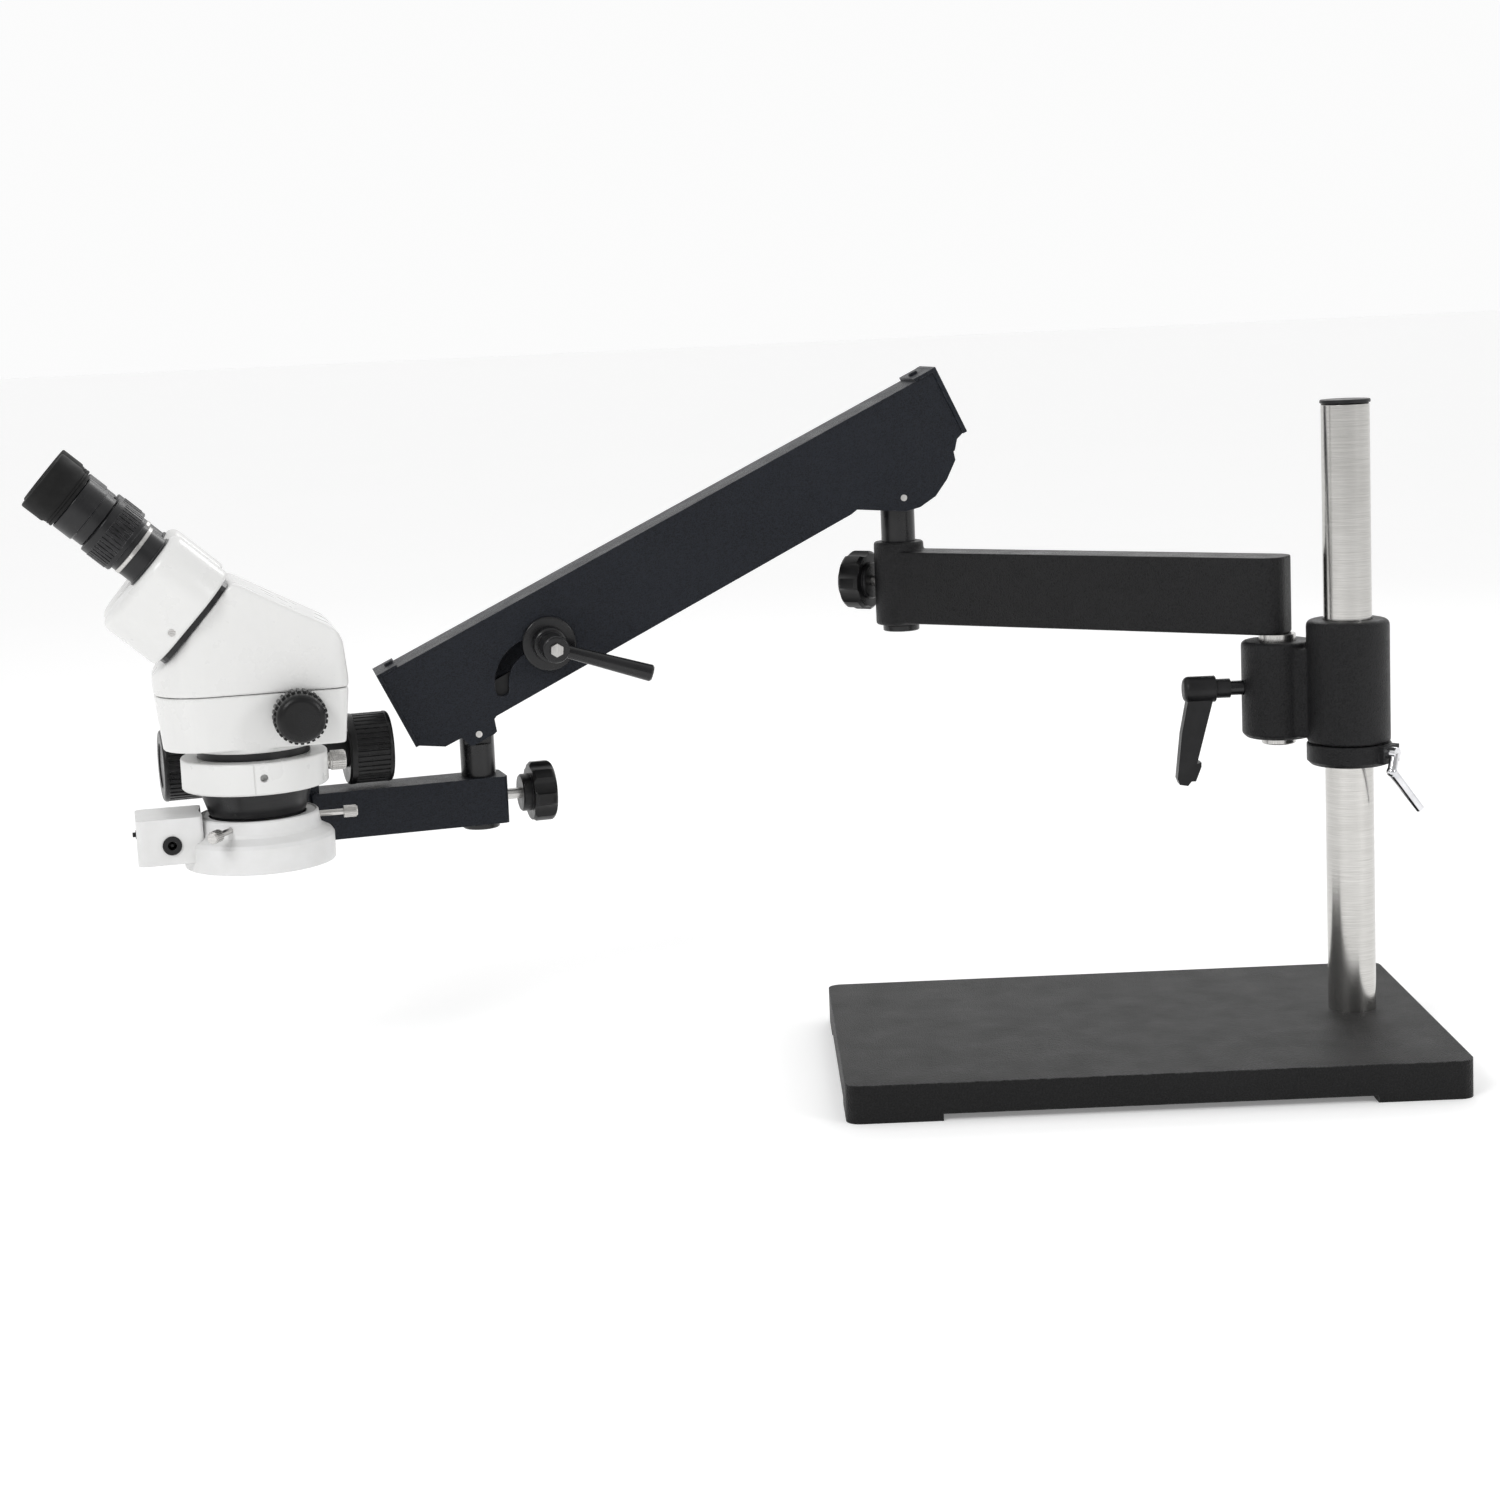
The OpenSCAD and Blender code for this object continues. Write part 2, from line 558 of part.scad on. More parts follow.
module ring_holder() color([0.9, 0.9, 0.89]) {
  at_ring() difference() {
    union() {
      drum(ring_r, ring_low, ring_high, 1.2, 1);
      translate([-ring_x, -ring_y, 0]) difference() {
        union() {
          slab(round_box(pinion_x - 27, pinion_x + 27, bar_width / 2 - 1.6, 29, 2, 2),
            ring_low - 10, ring_high + 2);
          slab(round_box(pinion_x - 4, ring_x + 6, 26, 46, 2, 2), ring_low + 1, ring_high - 1);
        }
        slab(rail_profile(0.1), ring_low - 12, ring_high + 5);
        translate([pinion_x - 7, 0, ring_low - 12]) cube([14, bar_width / 2 + 4, 50]);
      }
    }
    tube_bore(sleeve_r + run, ring_low - 12, ring_high + 3);
    at_head_lock() rod(3 + run, ring_r + 2);
    translate([0, 43, ring_high - 10]) rotate([-90, 0, 0]) rod(2.6, 12);
    translate([6, ring_r - 0.7, ring_low - 2]) cube([0.6, 5, 30]);
  }
  // Pad that carries the rack through the rail's channel
  at_bar() translate([pinion_x - 5, 14, ring_low - 10])
    cube([10, bar_width / 2 - 9, ring_high - ring_low + 12]);
}

// Along the head's lock screw, from the head's axis outwards
module at_head_lock() translate([0, 0, ring_high - 10]) rotate([0, -90, 0]) children();

module head_lock_screw() color([0.72, 0.72, 0.7]) at_ring() at_head_lock() {
  translate([0, 0, sleeve_r + gap]) rod(3, 14.5);
  slab(teeth(6.8, 0.5, 24), 52, 61);
  drum(5.6, 50.5, 52.2, 0.2, 0.6);
  drum(6, 60.8, 62, 0.6, 0.1);
}

function body_plan(grow) = round_box(-64 - grow, 64 + grow, -body_half - grow, body_half + grow,
  34 + grow, 10 + grow);

module lower_body() color([0.92, 0.92, 0.91]) at_head() difference() {
  union() {
    translate([0, 0, body_z]) linear_extrude(height = seam_z - body_z, scale = 1.06)
      polygon(body_plan(-4));
    drum(sleeve_r + 4, body_z - 3, body_z + 1, 0.5, 0.5);
  }
  difference() {
    slab(round_box(-52, 50, 5 - body_half, body_half - 5, 26, 6), body_z + 5, seam_z + 1);
    // Guides of the zoom carriage
    for (y = [-guide_y, guide_y]) translate([guide_x, y, body_z + 4]) rod(guide_r, 30);
  }
  for (y = [-12.5, 12.5]) translate([2, y, 0]) tube_bore(11, body_z - 5, body_z + 6);
  translate([zoom_x, 60, zoom_z]) rotate([90, 0, 0]) rod(4 + run, 120);
}

module upper_body() color([0.92, 0.92, 0.91]) at_head() difference() {
  top = eye_z + 26.5;
  intersection() {
    side_slab([[-64, seam_z + 0.4], [-64, seam_z + 6], [-61.5, seam_z + 31], [-59, seam_z + 37],
      [-54, seam_z + 42], [4, top - 1], [7.5, top], [10.4, top - 0.6], [57, eye_z - 26.1],
      [64, seam_z + 13], [64, seam_z + 0.4]], -body_half, body_half);
    slab(body_plan(0), seam_z, top + 1);
  }
  slab(round_box(-56, 50, 6 - body_half, body_half - 6, 26, 6), seam_z - 1, seam_z + 16);
  side_slab([[-52, seam_z + 15], [-52, seam_z + 30], [4, top - 12], [8, top - 12],
    [46, seam_z + 15]], 8 - body_half, body_half - 8);
  translate([eye_x, 0, eye_z]) rotate([0, 90 - eye_angle, 0])
    for (y = [-swing_half, swing_half]) translate([swing_drop, y, -16]) rod(12, 30);
}

module prism_seat() color([0.05, 0.05, 0.05]) at_eyes() difference() {
  slab(round_box(-34, 33, -46, 46, 18, 18), 0.25, 4);
  for (y = [-swing_half, swing_half]) translate([swing_drop, y, 0]) rod(12 + run, 12);
}

module objective_cell() color([0.04, 0.04, 0.045]) at_head() difference() {
  union() {
    translate([0, 0, ring_low - 2]) rod(sleeve_r, body_z - ring_low - 1);
    rotate_extrude($fn = fine) polygon([[0, 168], [31.4, 168], [31.4, ring_low - 19],
      [32.6, ring_low - 18], [37.6, ring_low - 3], [38, ring_low - 1.9], [0, ring_low - 1.9]]);
  }
  tube_bore(24, 167, 172);
  tube_bore(26, 174, 175.8);
  tube_bore(27, 177.8, ring_low + 10);
  for (y = [-12.5, 12.5]) translate([2, y, 0]) tube_bore(11, ring_low, body_z);
}

module objective_lens() color([0.55, 0.65, 0.75, 0.5]) at_head()
  rotate_extrude($fn = fine) polygon([[0, 176.8], [26.95, 176.8], [26.95, 182], [18, 184.6],
    [9, 186.1], [0, 186.6]]);

module zoom_shaft() color([0.7, 0.7, 0.68]) at_head()
  translate([zoom_x, 0, zoom_z]) rotate([-90, 0, 0]) {
    translate([0, 0, -body_half - 20]) rod(4, 2 * body_half + 40);
    difference() {
      translate([0, 0, -30]) rod(11, 60);
      for (z = [-18, 18]) translate([0, 0, z]) rotate([0, 20, 0]) difference() {
        rod(14, 3);
        rod(9.5, 3);
      }
    }
  }

module zoom_knobs() color([0.05, 0.05, 0.055]) at_head()
  translate([zoom_x, 0, zoom_z]) rotate([-90, 0, 0])
    for (side = [0, 1]) mirror([0, 0, side]) difference() {
      union() {
        slab(teeth(18, 1.5, 28), body_half + 3, body_half + 17);
        drum(16.4, body_half + 2, body_half + 25, 5, 0.6);
      }
      translate([0, 0, body_half]) rod(4, 20.5);
    }

module zoom_carriage() color([0.12, 0.12, 0.12]) at_head() difference() {
  slab(round_box(-14, 30, -30, 30, 6, 4), body_z + 20, body_z + 25);
  for (y = [-12.5, 12.5]) translate([2, y, 0]) tube_bore(9, body_z + 18, body_z + 26);
  for (y = [-guide_y, guide_y]) translate([guide_x, y, 0]) tube_bore(guide_r + run, body_z + 18, body_z + 26);
}

// One eyetube's parts stand on the seat with +Z along the tube; side is +1 near, -1 far
module at_tube(side) at_eyes() translate([-eye_lift, side * eye_half, 0]) children();

module prism_outline(side, r) union() {
  dx = eye_lift + swing_drop;
  dy = eye_half - swing_half;
  translate([-eye_lift, side * eye_half]) circle(r = r, $fn = fine);
  translate([swing_drop, side * swing_half]) circle(r = r, $fn = fine);
  translate([swing_drop, side * swing_half]) rotate([0, 0, 180 - side * atan2(dy, dx)])
    translate([0, 0.06 - r]) square([norm([dx, dy]), 2 * r - 0.12]);
}

module prism_housing(side) at_eyes() difference() {
  union() {
    translate([0, 0, prism_low]) linear_extrude(height = 2.2) prism_outline(side, prism_r - 1);
    translate([0, 0, prism_low + 2.1]) linear_extrude(height = prism_high - prism_low - 5.1)
      prism_outline(side, prism_r);
    translate([0, 0, prism_high - 3.1]) linear_extrude(height = 1.6) prism_outline(side, prism_r - 0.8);
    translate([0, 0, prism_high - 1.6]) linear_extrude(height = 1.6) prism_outline(side, prism_r - 2.6);
    translate([swing_drop, side * swing_half, 1.2]) rod(12, 4);
  }
  translate([0, 0, prism_low + 4]) linear_extrude(height = prism_high - prism_low - 10)
    prism_outline(side, prism_r - 3.5);
  translate([swing_drop, side * swing_half, 0]) rod(9, 12);
  translate([-eye_lift, side * eye_half, 0]) tube_bore(tube_r + 0.02, prism_high - 8, prism_high);
}

module eyetube(side) at_tube(side) difference() {
  union() {
    translate([0, 0, prism_high - 6]) rod(tube_r, 46);
    drum(tube_r + 1.2, prism_high + 0.1, prism_high + 1.4, 0.4, 0.1);
  }
  tube_bore(barrel_r + run, prism_high - 7, prism_high + 41);
}

module diopter_ring(side) at_tube(side) difference() {
  union() {
    slab(teeth(tube_r + 3.1, 0.7, 44, 0.6), 70, 84);
    drum(tube_r + 2.7, 66.6, 70.5, 0.8, 0.8);
    drum(tube_r + 2.7, 83.5, 89.2, 1, 0.3);
  }
  tube_bore(tube_r + run, 66, 90);
}

module eyepiece(side) at_tube(side) difference() {
  union() {
    translate([0, 0, 62]) rod(barrel_r, 30);
    drum(barrel_r + 3.6, 89.8, 98, 0.6, 0.6);
    drum(barrel_r + 4.6, 97.5, 112.4, 1, 0.8);
    translate([0, 0, 112]) rod(neck_r, 12);
  }
  tube_bore(lens_r + run, 61, 118);
  tube_bore(lens_r - 1.35, 117, 126);
}

module eyecup(side) at_tube(side) difference() {
  union() {
    drum(cup_r - 1, 112.8, 119, 0.8, 0.6);
    drum(cup_r, 118, 136, 1.6, 1);
  }
  tube_bore(neck_r + 0.02, 112, 124);
  tube_bore(lens_r + 0.65, 122, 127);
  translate([0, 0, 126.5]) cylinder(r1 = lens_r + 0.65, r2 = cup_r - 3, h = 10, $fn = fine);
}

module eye_lens(side) at_tube(side)
  rotate_extrude($fn = 48) polygon([[0, 112.4], [lens_r, 113.4], [lens_r, 117.2], [0, 118.6]]);

module right_prism_housing() color([0.92, 0.92, 0.91]) prism_housing(1);
module right_eyetube() color([0.05, 0.05, 0.055]) eyetube(1);
module right_diopter_ring() color([0.05, 0.05, 0.055]) diopter_ring(1);
module right_eyepiece() color([0.05, 0.05, 0.055]) eyepiece(1);
module right_eyecup() color([0.03, 0.03, 0.03]) eyecup(1);
module right_eye_lens() color([0.5, 0.6, 0.8, 0.5]) eye_lens(1);
module left_prism_housing() color([0.92, 0.92, 0.91]) prism_housing(-1);
module left_eyetube() color([0.05, 0.05, 0.055]) eyetube(-1);
module left_diopter_ring() color([0.05, 0.05, 0.055]) diopter_ring(-1);
module left_eyepiece() color([0.05, 0.05, 0.055]) eyepiece(-1);
module left_eyecup() color([0.03, 0.03, 0.03]) eyecup(-1);
module left_eye_lens() color([0.5, 0.6, 0.8, 0.5]) eye_lens(-1);

module ring_light() color([0.93, 0.93, 0.92]) at_head() difference() {
  union() {
    rotate_extrude($fn = 96) polygon([[32, light_z + 2], [light_r - 1.5, light_z + 2],
      [light_r - 1.5, light_z], [light_r - 0.4, light_z], [light_r, light_z + 0.6],
      [light_r, light_z + 17], [light_r - 1.6, light_z + 19.5], [light_r - 8, light_z + 23],
      [42, light_z + 25.5], [41, light_z + 33], [40, light_z + 34], [32, light_z + 34]]);
    slab(round_box(38, 82, -22, 25, 5, 3), light_z + 7, light_z + 38);
  }
  tube_bore(33, light_z, light_z + 40);
  tube_bore(39.5, light_z + 34.2, light_z + 40);
  for (a = [180, 60, -60]) rotate([0, 0, a]) translate([30, 0, screw_z]) rotate([0, 90, 0])
    rod(ring_screw_r + run, 24);
  translate([59, 13, light_z + 20]) rotate([-90, 0, 0]) rod(5.6, 14);
  translate([74, -6, light_z + 22]) cube([12, 12, 6]);
}

module ring_diffuser() color([0.85, 0.86, 0.84]) at_head()
  rotate_extrude($fn = 96) polygon([[34, light_z + 0.6], [light_r - 2, light_z + 0.6],
    [light_r - 2, light_z + 1.95], [34, light_z + 1.95]]);

module dc_jack() color([0.04, 0.04, 0.04]) at_head()
  translate([59, 13, light_z + 20]) rotate([-90, 0, 0]) {
    difference() {
      union() {
        rod(5.58, 12);
        drum(6.4, 12.05, 13.2, 0.4, 0.1);
      }
      translate([0, 0, 3]) rod(3, 12);
    }
    translate([0, 0, 2]) rod(1, 9.6);
  }

module light_switch() color([0.04, 0.04, 0.04]) at_head() {
  translate([74.4, -2.5, light_z + 22.4]) cube([8, 5, 5.2]);
  translate([82, -1.4, light_z + 23.6]) cube([2.4, 2.8, 2.8]);
}

// Thumb screw at angle a round the head, its tip at the cell and its grip starting at radius grip
module ring_screw(a, grip) at_head() rotate([0, 0, a]) translate([0, 0, screw_z])
  rotate([0, 90, 0]) {
    translate([0, 0, 31.7]) rod(ring_screw_r, grip - 31);
    slab(teeth(4.2, 0.4, 18), grip, grip + 8.5);
    drum(3.4, grip + 8.3, grip + 9.5, 0.5, 0.1);
  }

module rear_ring_screw() color([0.75, 0.75, 0.74]) ring_screw(180, 58);
module right_ring_screw() color([0.75, 0.75, 0.74]) ring_screw(60, 58);
module left_ring_screw() color([0.75, 0.75, 0.74]) ring_screw(-60, 45);

base_plate();
post();
post_bolt();
post_cap();
safety_collar();
collar_lever();
pivot_block();
clamp_lever();
clamp_stud();
horizontal_arm();
arm_pivot_shaft();
elbow_knob();
elbow_stud();
upper_post();
arm_housing();
end_plates();
housing_pins();
balance_spring();
spring_rod();
parallel_link();
link_pin();
lock_bolt();
lock_washer();
lock_handle();
lower_post();
focus_bar();
bar_knob();
bar_stud();
pinion_shaft();
focus_knobs();
focus_rack();
ring_holder();
head_lock_screw();
lower_body();
upper_body();
prism_seat();
objective_cell();
objective_lens();
zoom_knobs();
zoom_shaft();
zoom_carriage();
right_prism_housing();
right_eyetube();
right_diopter_ring();
right_eyepiece();
right_eyecup();
right_eye_lens();
left_prism_housing();
left_eyetube();
left_diopter_ring();
left_eyepiece();
left_eyecup();
left_eye_lens();
ring_light();
ring_diffuser();
dc_jack();
light_switch();
rear_ring_screw();
right_ring_screw();
left_ring_screw();
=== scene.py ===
"""Stereo microscope on an articulating arm: rounded shells, materials, studio and camera."""
import json
import math

import bmesh
import bpy
from mathutils import Matrix, Vector


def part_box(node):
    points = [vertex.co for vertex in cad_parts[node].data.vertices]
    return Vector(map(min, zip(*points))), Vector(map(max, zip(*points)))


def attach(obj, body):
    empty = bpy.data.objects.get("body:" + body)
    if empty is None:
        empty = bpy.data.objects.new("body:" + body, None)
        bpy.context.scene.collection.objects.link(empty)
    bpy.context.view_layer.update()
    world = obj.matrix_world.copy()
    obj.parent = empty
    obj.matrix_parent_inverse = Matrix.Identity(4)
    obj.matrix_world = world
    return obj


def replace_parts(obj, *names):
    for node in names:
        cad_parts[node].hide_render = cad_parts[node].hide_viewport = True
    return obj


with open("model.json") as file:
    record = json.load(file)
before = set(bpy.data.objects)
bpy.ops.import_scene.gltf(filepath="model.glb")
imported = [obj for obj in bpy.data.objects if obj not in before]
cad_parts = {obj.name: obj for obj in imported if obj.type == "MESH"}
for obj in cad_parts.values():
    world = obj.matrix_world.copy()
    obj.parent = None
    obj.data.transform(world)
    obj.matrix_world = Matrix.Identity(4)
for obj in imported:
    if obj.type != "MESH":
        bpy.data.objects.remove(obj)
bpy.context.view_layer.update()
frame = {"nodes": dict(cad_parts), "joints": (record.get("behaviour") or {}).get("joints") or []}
MM = 0.001


def joint(name):
    return next(j for j in frame["joints"] if j["name"] == name)


# ---------------------------------------------------------------- directions taken from the frame
RIGHT_TURN = joint("right_diopter_turn")
LEFT_TURN = joint("left_diopter_turn")
TUBE_AXIS = Vector(RIGHT_TURN["axis"]).normalized()
ZOOM_AXIS = Vector(joint("zoom_turn")["axis"]).normalized()
KNOB_AXIS = Vector(joint("focus_knob_turn")["axis"]).normalized()
ACROSS = (Vector(RIGHT_TURN["pos_m"]) - Vector(LEFT_TURN["pos_m"])).normalized()
UP_TUBE = TUBE_AXIS.cross(ACROSS).normalized()
UPRIGHT = Vector((0, 0, 1))


# ---------------------------------------------------------------- material building blocks
class Shade:
    """A Principled material with its edges rounded in the shader and its detail in object space."""

    def __init__(self, name, edge_mm=0.5):
        self.material = bpy.data.materials.new(name)
        self.material.use_nodes = True
        self.tree = self.material.node_tree
        self.shader = self.tree.nodes["Principled BSDF"]
        self.coords = self.node("ShaderNodeTexCoord").outputs["Object"]
        bevel = self.node("ShaderNodeBevel")
        bevel.samples = 4
        bevel.inputs["Radius"].default_value = edge_mm * MM
        self.normal = bevel.outputs["Normal"]
        self.edge_normal = self.normal

    def node(self, kind, **values):
        made = self.tree.nodes.new(kind)
        for key, value in values.items():
            setattr(made, key, value)
        return made

    def link(self, source, target):
        self.tree.links.new(source, target)

    def put(self, **values):
        for key, value in values.items():
            self.shader.inputs[key.replace("_", " ")].default_value = value
        return self

    def math(self, operation, a, b=0.0, clamp=False):
        n = self.node("ShaderNodeMath", operation=operation, use_clamp=clamp)
        for socket, value in zip(n.inputs, (a, b)):
            if isinstance(value, (int, float)):
                socket.default_value = value
            else:
                self.link(value, socket)
        return n.outputs[0]

    def stretched(self, axis, along, around):
        """Coordinates squeezed along one axis, for turned, ground or drawn marks."""
        turn = self.node("ShaderNodeMapping", vector_type="TEXTURE")
        turn.inputs["Rotation"].default_value = UPRIGHT.rotation_difference(axis).to_euler()
        self.link(self.coords, turn.inputs["Vector"])
        scale = self.node("ShaderNodeMapping")
        scale.inputs["Scale"].default_value = (around, around, along)
        self.link(turn.outputs[0], scale.inputs["Vector"])
        return scale.outputs[0]

    def noise(self, scale, detail=3.0, rough=0.55, coords=None):
        n = self.node("ShaderNodeTexNoise")
        n.inputs["Scale"].default_value = scale
        n.inputs["Detail"].default_value = detail
        n.inputs["Roughness"].default_value = rough
        self.link(coords or self.coords, n.inputs["Vector"])
        return n.outputs["Fac"]

    def cells(self, scale):
        n = self.node("ShaderNodeTexVoronoi", feature="F1")
        n.inputs["Scale"].default_value = scale
        self.link(self.coords, n.inputs["Vector"])
        return n.outputs["Distance"]

    def span(self, value, low, high, to_low, to_high):
        n = self.node("ShaderNodeMapRange")
        for socket, number in zip(list(n.inputs)[1:5], (low, high, to_low, to_high)):
            socket.default_value = number
        self.link(value, n.inputs[0])
        return n.outputs[0]

    def blend(self, factor, first, second):
        n = self.node("ShaderNodeMix", data_type="RGBA")
        self.link(factor, n.inputs[0])
        for socket, value in ((n.inputs[6], first), (n.inputs[7], second)):
            if isinstance(value, tuple):
                socket.default_value = (*value, 1.0)
            else:
                self.link(value, socket)
        return n.outputs[2]

    def bump(self, height, depth_mm, strength):
        n = self.node("ShaderNodeBump")
        n.inputs["Strength"].default_value = strength
        n.inputs["Distance"].default_value = depth_mm * MM
        self.link(height, n.inputs["Height"])
        self.link(self.normal, n.inputs["Normal"])
        self.normal = n.outputs["Normal"]

    def edges(self, grain):
        """1 along worn edges, broken up by noise, and 0 on flats."""
        true_normal = self.node("ShaderNodeNewGeometry").outputs["Normal"]
        dot = self.node("ShaderNodeVectorMath", operation="DOT_PRODUCT")
        self.link(self.edge_normal, dot.inputs[0])
        self.link(true_normal, dot.inputs[1])
        bent = self.math("SUBTRACT", 1.0, dot.outputs["Value"])
        mask = self.span(bent, 0.02, 0.25, 0.0, 1.0)
        patches = self.span(self.noise(grain), 0.42, 0.62, 0.0, 1.0)
        return self.math("MULTIPLY", mask, patches, clamp=True)

    def colour(self, socket):
        self.link(socket, self.shader.inputs["Base Color"])

    def worn_colour(self, base, worn, amount, grain=180.0):
        """Base colour, with the worn colour showing along the edges."""
        self.colour(self.blend(self.math("MULTIPLY", self.edges(grain), amount), base, worn))

    def roughness(self, value, low, high, to_low, to_high):
        self.link(self.span(value, low, high, to_low, to_high), self.shader.inputs["Roughness"])

    def done(self):
        self.link(self.normal, self.shader.inputs["Normal"])
        return self.material


# ---------------------------------------------------------------- materials
def wrinkle_paint(name, dark, light):
    """Baked wrinkle coat: short raised worms, made from folded noise."""
    s = Shade(name, 0.9)
    folds = s.noise(720.0, 2.0, 0.45)
    ridges = s.math("ABSOLUTE", s.math("SUBTRACT", folds, 0.5))
    s.bump(ridges, 1.6, 0.8)
    s.bump(s.noise(3800.0, 1.0), 0.08, 0.5)
    tone = s.blend(s.span(ridges, 0.0, 0.12, 0.0, 1.0), light, dark)
    patchy = s.blend(s.span(s.noise(16.0, 4.0), 0.35, 0.7, 0.0, 0.25), tone, light)
    s.worn_colour(patchy, (0.16, 0.16, 0.17), 0.6)
    s.roughness(s.noise(60.0, 5.0), 0.3, 0.7, 0.34, 0.46)
    s.put(Specular_IOR_Level=0.22)
    return s.done()


def powder_coat(name, dark, light):
    """Fine powder coat on the cast base, with a trace of dust on it."""
    s = Shade(name, 1.4)
    grains = s.cells(900.0)
    s.bump(grains, 0.5, 0.8)
    s.bump(s.noise(420.0, 3.0), 0.12, 0.5)
    tone = s.blend(s.span(grains, 0.1, 0.8, 0.0, 1.0), dark, light)
    dust = s.span(s.noise(9.0, 6.0, 0.65), 0.5, 0.8, 0.0, 0.05)
    dusty = s.blend(dust, tone, (0.10, 0.10, 0.10))
    s.worn_colour(dusty, (0.2, 0.2, 0.2), 0.5)
    s.roughness(s.noise(35.0, 4.0), 0.3, 0.7, 0.44, 0.52)
    s.put(Specular_IOR_Level=0.18)
    return s.done()


def enamel(name, tint, shade):
    """Sprayed enamel on castings: faint orange peel, a little grime in patches."""
    s = Shade(name, 1.2)
    s.bump(s.noise(380.0, 2.0), 0.10, 0.35)
    s.bump(s.noise(1800.0, 2.0), 0.02, 0.4)
    grime = s.span(s.noise(22.0, 6.0, 0.6), 0.5, 0.8, 0.0, 0.12)
    base = s.blend(grime, tint, shade)
    s.worn_colour(base, (0.62, 0.61, 0.58), 0.35, 90.0)
    s.roughness(s.noise(48.0, 5.0), 0.3, 0.7, 0.24, 0.36)
    s.put(Coat_Weight=0.25, Coat_Roughness=0.18)
    return s.done()


def anodised(name, axis):
    """Black anodised turning, with fine lathe marks round its axis."""
    s = Shade(name, 0.35)
    marks = s.noise(1.0, 3.0, 0.6, s.stretched(axis, 5200.0, 60.0))
    s.bump(marks, 0.012, 0.5)
    tone = s.blend(s.span(marks, 0.3, 0.7, 0.0, 1.0), (0.004, 0.004, 0.005), (0.012, 0.012, 0.013))
    s.worn_colour(tone, (0.28, 0.28, 0.29), 0.7, 220.0)
    s.roughness(s.noise(70.0, 5.0), 0.3, 0.7, 0.26, 0.42)
    s.put(Specular_IOR_Level=0.4)
    return s.done()


def turned_metal(name, axis, tint, shade, rough=(0.2, 0.34)):
    """Bare metal, ground or turned round an axis."""
    s = Shade(name, 0.3)
    marks = s.noise(1.0, 4.0, 0.65, s.stretched(axis, 6500.0, 45.0))
    s.bump(marks, 0.010, 0.55)
    stains = s.span(s.noise(28.0, 5.0), 0.45, 0.75, 0.0, 0.5)
    drawn = s.blend(s.span(marks, 0.35, 0.65, 0.0, 1.0), tint, shade)
    s.colour(s.blend(stains, drawn, shade))
    s.roughness(marks, 0.3, 0.7, rough[0], rough[1])
    s.put(Metallic=1.0)
    return s.done()


def chrome(name):
    """Polished plate with a slight haze in patches."""
    s = Shade(name, 0.4)
    s.bump(s.noise(90.0, 2.0), 0.03, 0.2)
    haze = s.noise(55.0, 6.0, 0.65)
    s.colour(s.blend(s.span(haze, 0.45, 0.75, 0.0, 1.0), (0.82, 0.82, 0.84), (0.6, 0.6, 0.62)))
    s.roughness(haze, 0.35, 0.75, 0.06, 0.18)
    s.put(Metallic=1.0)
    return s.done()


def moulded(name, tint, light, rough=(0.34, 0.5), grain=900.0):
    """Moulded plastic with a fine spark-eroded grain and handling shine."""
    s = Shade(name, 0.5)
    s.bump(s.cells(grain), 0.035, 0.4)
    tone = s.blend(s.span(s.noise(40.0, 5.0), 0.35, 0.7, 0.0, 1.0), tint, light)
    scuffed = tuple(min(1.0, c + 0.10) for c in light)
    s.worn_colour(tone, scuffed, 0.55, 260.0)
    s.roughness(s.noise(85.0, 5.0), 0.3, 0.7, rough[0], rough[1])
    s.put(Specular_IOR_Level=0.3)
    return s.done()


def gloss_paint(name):
    """Smooth black paint, glossier than the wrinkle coat."""
    s = Shade(name, 0.7)
    s.bump(s.noise(300.0, 2.0), 0.05, 0.3)
    patches = s.span(s.noise(30.0, 5.0), 0.35, 0.7, 0.0, 1.0)
    tone = s.blend(patches, (0.003, 0.003, 0.004), (0.010, 0.010, 0.011))
    s.worn_colour(tone, (0.22, 0.22, 0.22), 0.5, 200.0)
    s.roughness(s.noise(60.0, 5.0), 0.3, 0.7, 0.22, 0.36)
    s.put(Specular_IOR_Level=0.35, Coat_Weight=0.2, Coat_Roughness=0.12)
    return s.done()


def rubber(name):
    """Matt rubber with a little dust in patches."""
    s = Shade(name, 0.6)
    s.bump(s.noise(1600.0, 3.0), 0.05, 0.5)
    dusty = s.span(s.noise(120.0, 6.0, 0.7), 0.45, 0.75, 0.0, 0.6)
    s.colour(s.blend(dusty, (0.005, 0.005, 0.005), (0.014, 0.014, 0.0135)))
    s.roughness(s.noise(90.0, 4.0), 0.3, 0.7, 0.56, 0.74)
    s.put(Specular_IOR_Level=0.2, Sheen_Weight=0.04, Sheen_Roughness=0.5)
    return s.done()


def coated_glass(name):
    """Lens glass with a blue and violet coating."""
    s = Shade(name, 0.15)
    smears = s.noise(75.0, 5.0, 0.7)
    s.colour(s.blend(s.span(smears, 0.35, 0.7, 0.0, 1.0), (0.42, 0.5, 0.78), (0.5, 0.42, 0.72)))
    s.roughness(smears, 0.4, 0.8, 0.01, 0.06)
    s.put(Transmission_Weight=0.85, IOR=1.6, Coat_Weight=0.6, Coat_Roughness=0.02)
    return s.done()


def frosted(name):
    """Milky plastic that scatters light under its skin."""
    s = Shade(name, 0.4)
    s.bump(s.cells(700.0), 0.08, 0.6)
    tone = s.noise(60.0, 4.0)
    s.colour(s.blend(s.span(tone, 0.3, 0.7, 0.0, 1.0), (0.85, 0.86, 0.85), (0.76, 0.77, 0.76)))
    s.roughness(tone, 0.3, 0.7, 0.5, 0.62)
    s.put(Subsurface_Weight=0.3, Subsurface_Scale=0.003)
    return s.done()


